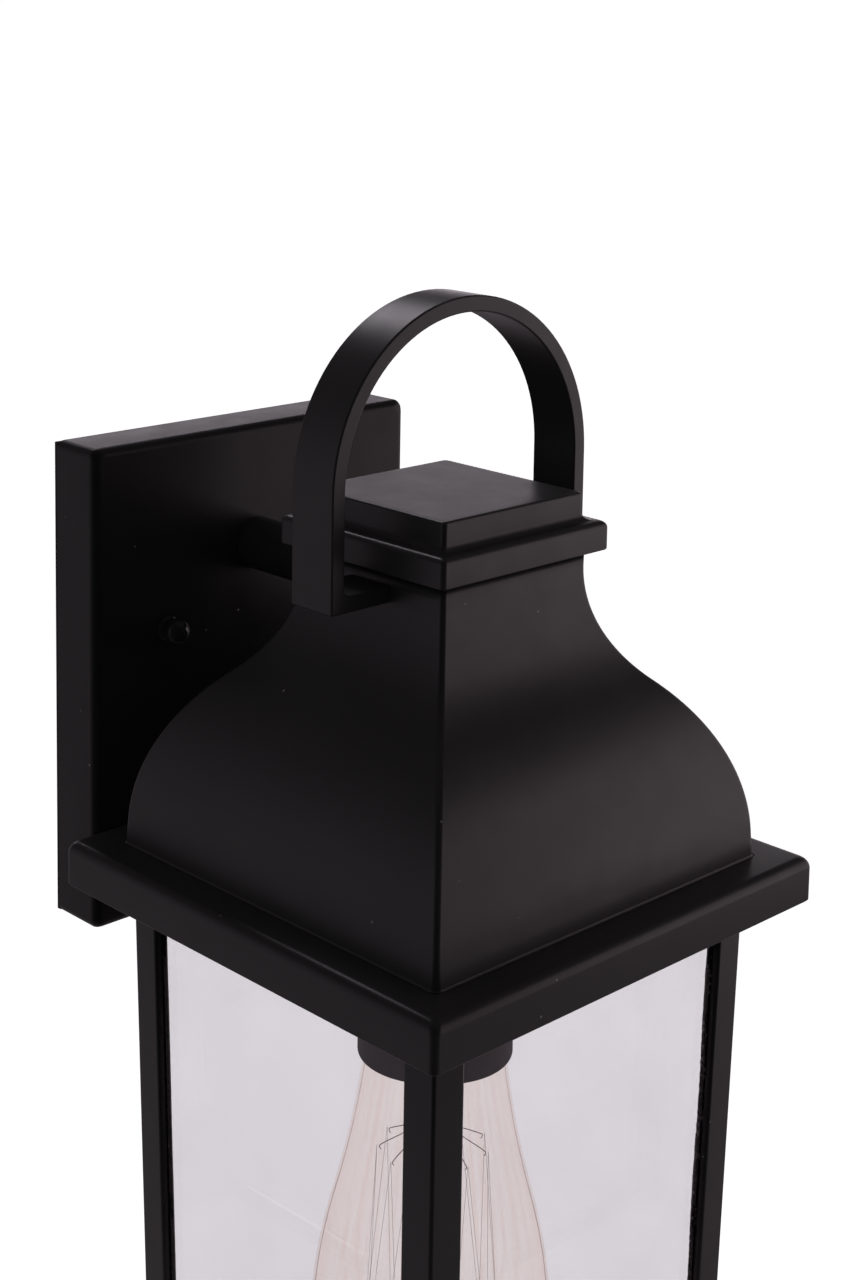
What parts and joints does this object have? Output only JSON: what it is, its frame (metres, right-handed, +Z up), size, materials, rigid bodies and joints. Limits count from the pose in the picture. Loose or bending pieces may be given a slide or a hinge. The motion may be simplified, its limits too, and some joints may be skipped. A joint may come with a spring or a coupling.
{
  "type": "outdoor wall lantern",
  "caption": "Square wall lantern: ogee roof with a stepped cap and loop, glazed tapering cage open below, hung on a round arm from a box-shaped back plate.",
  "frame": {"origin": "centre of the outlet box on the wall plane, midway between the mounting bar's slots", "axes": "+Z up, +Y into the wall, -Y out into the room towards the lantern, +X to the right for someone facing the wall"},
  "size_m": [0.15, 0.1756, 0.3523],
  "materials": {
    "black_powder": "satin black powder coat with a fine grain",
    "nut_black": "satin black",
    "foam_black": "closed-cell foam",
    "zinc_steel": "zinc plated",
    "ground_green": "green zinc",
    "brass_plain": "drawn brass",
    "solder": "soldered",
    "cover_black": "satin black",
    "holder_white": "glazed porcelain",
    "bulb_black": "black glass",
    "amber_glass": "amber tinted, clear",
    "stem_glass": "clear",
    "support_wire": "dull",
    "filament": "carbon brown",
    "lead_black": "sleeved",
    "lead_white": "sleeved",
    "copper": "bare copper",
    "connector_orange": "moulded",
    "silicone": "clear silicone with bubbles",
    "clear_glass": "clear flat glass"
  },
  "bodies": {
    "root": {"back_plate": "black_powder", "arm_tube": "black_powder", "roof_shell": "black_powder", "roof_rim": "black_powder", "roof_cap": "black_powder", "loop_handle": "black_powder", "post_front_left": "black_powder", "post_front_right": "black_powder", "post_rear_left": "black_powder", "post_rear_right": "black_powder", "cage_top_frame": "black_powder", "cage_bottom_frame": "black_powder", "wall_gasket": "foam_black", "mounting_bar": "zinc_steel", "mounting_studs": "zinc_steel", "stud_lock_nuts": "zinc_steel", "ground_screw": "ground_green", "arm_nipple": "zinc_steel", "arm_nuts": "zinc_steel", "loop_screws": "zinc_steel", "cage_screws": "zinc_steel", "rod_nuts": "zinc_steel", "centre_rod": "zinc_steel", "socket_strap": "zinc_steel", "socket_screws": "zinc_steel", "socket_terminals": "brass_plain", "socket_screw_shell": "brass_plain", "socket_contact": "brass_plain", "socket_cover": "cover_black", "socket_body": "holder_white", "live_lead": "lead_black", "neutral_lead": "lead_white", "earth_lead": "copper", "wire_connectors": "connector_orange", "pane_sealant": "silicone", "glass_front": "clear_glass", "glass_back": "clear_glass", "glass_left": "clear_glass", "glass_right": "clear_glass"},
    "bulb": {"bulb_cap": "brass_plain", "bulb_insulator": "bulb_black", "bulb_contact": "solder", "bulb_glass": "amber_glass", "bulb_stem": "stem_glass", "bulb_supports": "support_wire", "bulb_filament": "filament"},
    "ball_nut_left": {"ball_nut_left": "nut_black"},
    "ball_nut_right": {"ball_nut_right": "nut_black"}
  },
  "joints": [
    {"name": "bulb_removal", "type": "slide", "parent": "root", "child": "bulb", "axis": [0, 0, -1], "range_m": [0, 0.18]},
    {"name": "left_nut_turn", "type": "hinge", "parent": "root", "child": "ball_nut_left", "pos_m": [-0.035, -0.0244, 0], "axis": [0, -1, 0], "continuous": true},
    {"name": "right_nut_turn", "type": "hinge", "parent": "root", "child": "ball_nut_right", "pos_m": [0.035, -0.0244, 0], "axis": [0, -1, 0], "continuous": true}
  ]
}
